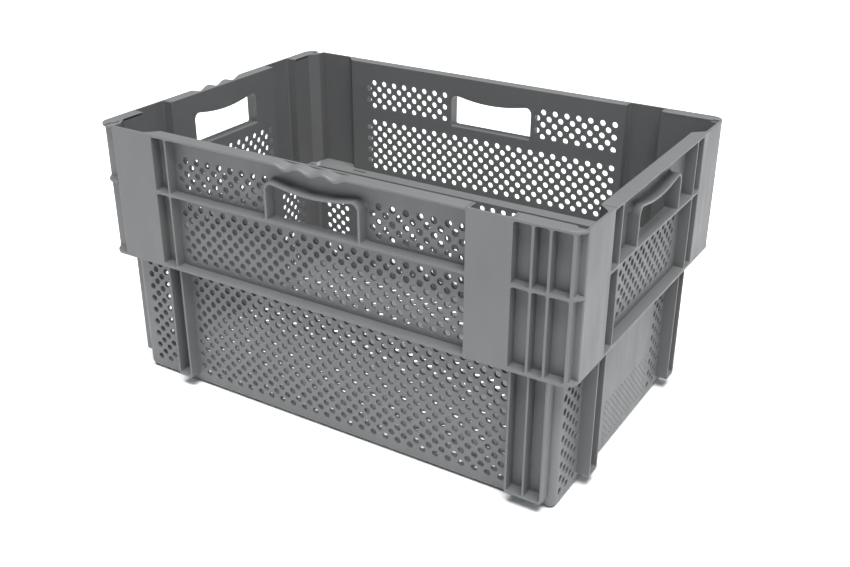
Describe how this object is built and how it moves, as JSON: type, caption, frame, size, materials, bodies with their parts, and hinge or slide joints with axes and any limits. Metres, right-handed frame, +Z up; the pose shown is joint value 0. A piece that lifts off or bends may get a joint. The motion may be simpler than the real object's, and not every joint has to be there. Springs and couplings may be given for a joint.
{
  "type": "stacking plastic crate",
  "caption": "Grey perforated plastic crate that stacks one way round and nests when turned, with a wider ribbed collar, hand holes and stacking columns.",
  "frame": {"origin": "middle of the underside of the floor", "axes": "+X along the long side, +Y from the front long side to the back one, +Z up"},
  "size_m": [0.6, 0.4, 0.32],
  "materials": {
    "crate_plastic": "matte, finely textured"
  },
  "bodies": {
    "root": {"back_collar_left_grille": "crate_plastic", "back_collar_mid_grille": "crate_plastic", "back_collar_right_grille": "crate_plastic", "back_handle": "crate_plastic", "back_left_column": "crate_plastic", "back_left_corner": "crate_plastic", "back_left_plate": "crate_plastic", "back_left_well_post": "crate_plastic", "back_mid_rib": "crate_plastic", "back_pocket_rib": "crate_plastic", "back_right_column": "crate_plastic", "back_right_corner": "crate_plastic", "back_right_plate": "crate_plastic", "back_right_well_post": "crate_plastic", "back_rim": "crate_plastic", "back_shoulder": "crate_plastic", "back_well_wall": "crate_plastic", "floor": "crate_plastic", "front_collar_left_grille": "crate_plastic", "front_collar_mid_grille": "crate_plastic", "front_collar_right_grille": "crate_plastic", "front_handle": "crate_plastic", "front_left_column": "crate_plastic", "front_left_corner": "crate_plastic", "front_left_plate": "crate_plastic", "front_left_well_post": "crate_plastic", "front_mid_rib": "crate_plastic", "front_pocket_rib": "crate_plastic", "front_right_column": "crate_plastic", "front_right_corner": "crate_plastic", "front_right_plate": "crate_plastic", "front_right_well_post": "crate_plastic", "front_rim": "crate_plastic", "front_shoulder": "crate_plastic", "front_well_wall": "crate_plastic", "left_collar_mid_grille": "crate_plastic", "left_far_column": "crate_plastic", "left_far_plate": "crate_plastic", "left_handle": "crate_plastic", "left_mid_rib": "crate_plastic", "left_near_column": "crate_plastic", "left_near_plate": "crate_plastic", "left_rim": "crate_plastic", "left_shoulder": "crate_plastic", "left_well_wall": "crate_plastic", "right_collar_mid_grille": "crate_plastic", "right_far_column": "crate_plastic", "right_far_plate": "crate_plastic", "right_far_pocket_rib": "crate_plastic", "right_far_well_wall": "crate_plastic", "right_handle": "crate_plastic", "right_label_panel": "crate_plastic", "right_mid_rib": "crate_plastic", "right_near_column": "crate_plastic", "right_near_plate": "crate_plastic", "right_near_pocket_rib": "crate_plastic", "right_near_well_wall": "crate_plastic", "right_rim": "crate_plastic", "right_shoulder": "crate_plastic"}
  },
  "joints": []
}
